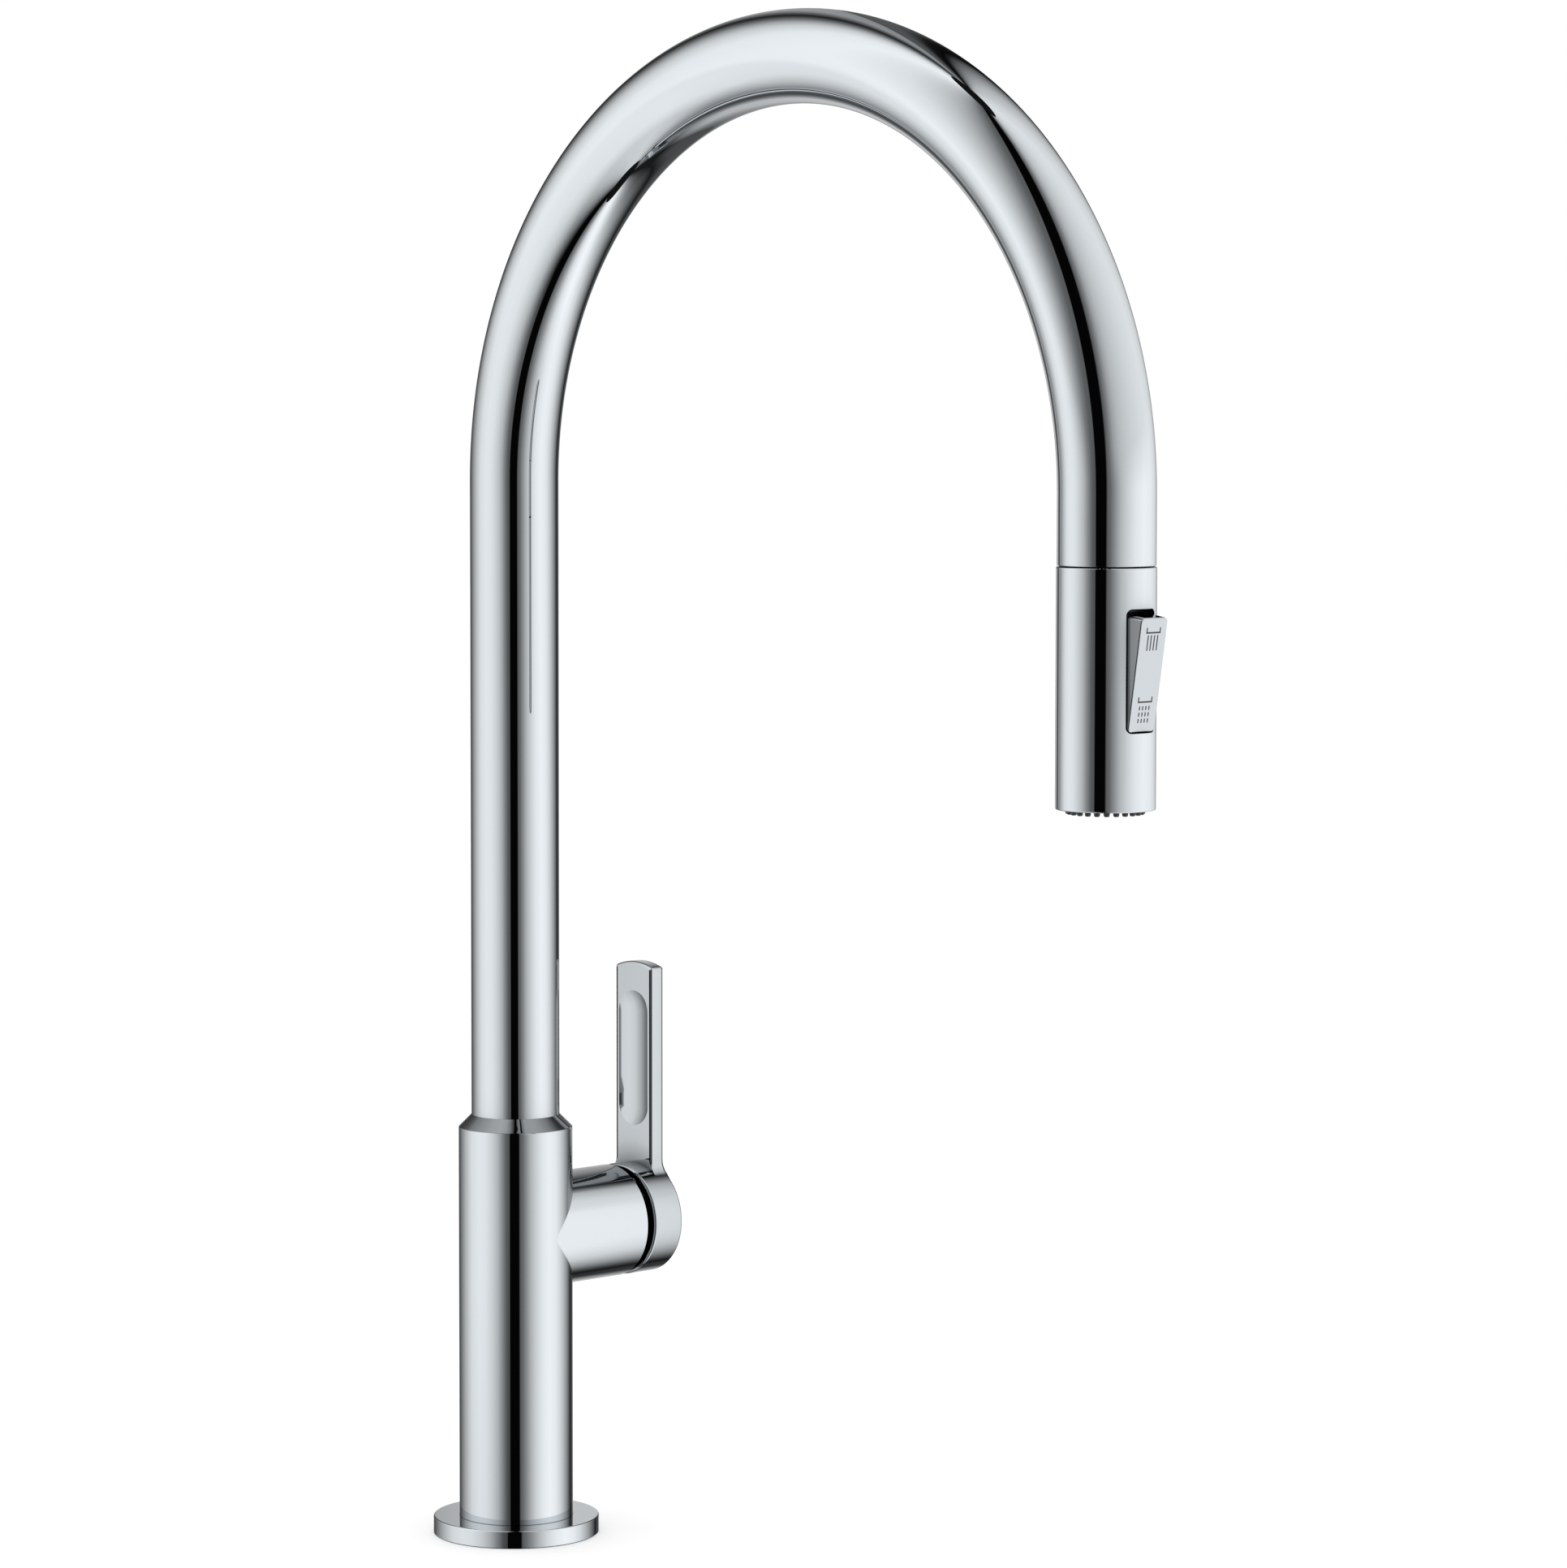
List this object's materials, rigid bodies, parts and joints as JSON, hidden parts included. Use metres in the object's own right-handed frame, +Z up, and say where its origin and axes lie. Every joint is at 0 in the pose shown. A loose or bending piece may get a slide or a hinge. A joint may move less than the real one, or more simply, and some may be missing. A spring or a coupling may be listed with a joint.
{
  "type": "pull down kitchen faucet",
  "caption": "Single-hole kitchen faucet with a high arc swivel spout, a pull-down spray head with a rocker, and a side lever.",
  "frame": {"origin": "centre of the base ring's underside, on the deck", "axes": "+Z up; -Y to the front, where the spout reaches; +X to the side lever"},
  "size_m": [0.082, 0.2999, 0.5549],
  "materials": {
    "chrome_brass": "mirror chrome on cast brass and zinc",
    "chrome_tube": "mirror chrome on drawn tube",
    "chrome_plastic": "mirror chrome on moulded plastic",
    "brass": "machined",
    "steel": "plain stainless",
    "black_rubber": "matte",
    "nozzle_silicone": "satin silicone",
    "white_plastic": "moulded acetal",
    "black_plastic": "moulded",
    "ceramic": "lapped alumina",
    "hose": "woven nylon sleeve"
  },
  "bodies": {
    "column": {"base_ring": "chrome_brass", "base_gasket": "black_rubber", "centering_collar": "black_plastic", "mounting_shank": "brass", "deck_washer_rubber": "black_rubber", "deck_washer_steel": "steel", "mounting_nut": "brass", "nut_jack_screws": "steel", "body_column": "chrome_brass", "column_set_screws": "steel", "valve_core": "brass", "spout_bush_lower": "white_plastic", "spout_bush_upper": "white_plastic", "cartridge_seals": "black_rubber", "cartridge_base": "white_plastic", "cartridge_housing": "white_plastic", "fixed_disc": "ceramic", "cartridge_nut": "brass", "bonnet": "black_plastic", "hose_in_column": "hose", "hose_coupling": "brass"},
    "spout": {"spout_tube": "chrome_tube", "spout_friction_rings": "black_rubber", "dock_bushing": "black_plastic", "hose_in_arc": "hose"},
    "hose_end": {"hose_outlet_run": "hose", "hose_ferrule": "steel", "hose_end_fitting": "brass", "hose_end_ring": "black_rubber"},
    "spray_head": {"head_shell": "chrome_plastic", "head_collar": "black_plastic", "head_inner_body": "white_plastic", "check_valve": "white_plastic", "face_seal": "black_rubber", "nozzle_plate": "black_plastic", "silicone_nozzles": "nozzle_silicone", "aerator_housing": "white_plastic", "aerator_screens": "steel", "rocker_pin": "steel"},
    "rocker": {"rocker_button": "chrome_plastic"},
    "diverter": {"diverter_spool": "white_plastic", "spool_rings": "black_rubber"},
    "valve_stem": {"cartridge_carrier": "white_plastic", "carrier_pin": "steel"},
    "handle": {"cartridge_lever": "brass", "lever_handle": "chrome_brass", "handle_set_screw": "steel", "handle_plug": "black_plastic"},
    "mixing_disc": {"moving_disc": "ceramic", "disc_coupler": "white_plastic"}
  },
  "joints": [
    {"name": "spout_swivel", "type": "hinge", "parent": "column", "child": "spout", "pos_m": [0, 0, 0.1343], "axis": [0, 0, 1], "range_deg": [-180, 180]},
    {"name": "head_pull", "type": "slide", "parent": "spout", "child": "hose_end", "axis": [0, 0, -1], "range_m": [0, 0.45], "deforming": ["hose_outlet_run"]},
    {"name": "head_swivel", "type": "hinge", "parent": "hose_end", "child": "spray_head", "pos_m": [0, -0.255, 0.30645], "axis": [0, 0, 1], "continuous": true},
    {"name": "spray_rocker", "type": "hinge", "parent": "spray_head", "child": "rocker", "pos_m": [0, -0.2645, 0.2864], "axis": [-1, 0, 0], "range_deg": [0, 17.9]},
    {"name": "diverter_slide", "type": "slide", "parent": "spray_head", "child": "diverter", "axis": [0, -1, 0], "range_m": [0, 0.00228]},
    {"name": "temperature_turn", "type": "hinge", "parent": "column", "child": "valve_stem", "pos_m": [0.02602, 0, 0.0957], "axis": [1, 0, 0], "range_deg": [0, 90]},
    {"name": "flow_tilt", "type": "hinge", "parent": "valve_stem", "child": "handle", "pos_m": [0.02602, 0, 0.0957], "axis": [0, 1, 0], "range_deg": [0, 15]},
    {"name": "mixing_disc_slide", "type": "slide", "parent": "valve_stem", "child": "mixing_disc", "axis": [0, 0, 1], "range_m": [0, 0.00176]}
  ],
  "couplings": [
    {"joint": "diverter_slide", "follows": "spray_rocker", "m_per_rad": 0.0069716},
    {"joint": "mixing_disc_slide", "follows": "flow_tilt", "m_per_rad": 0.0063271}
  ]
}
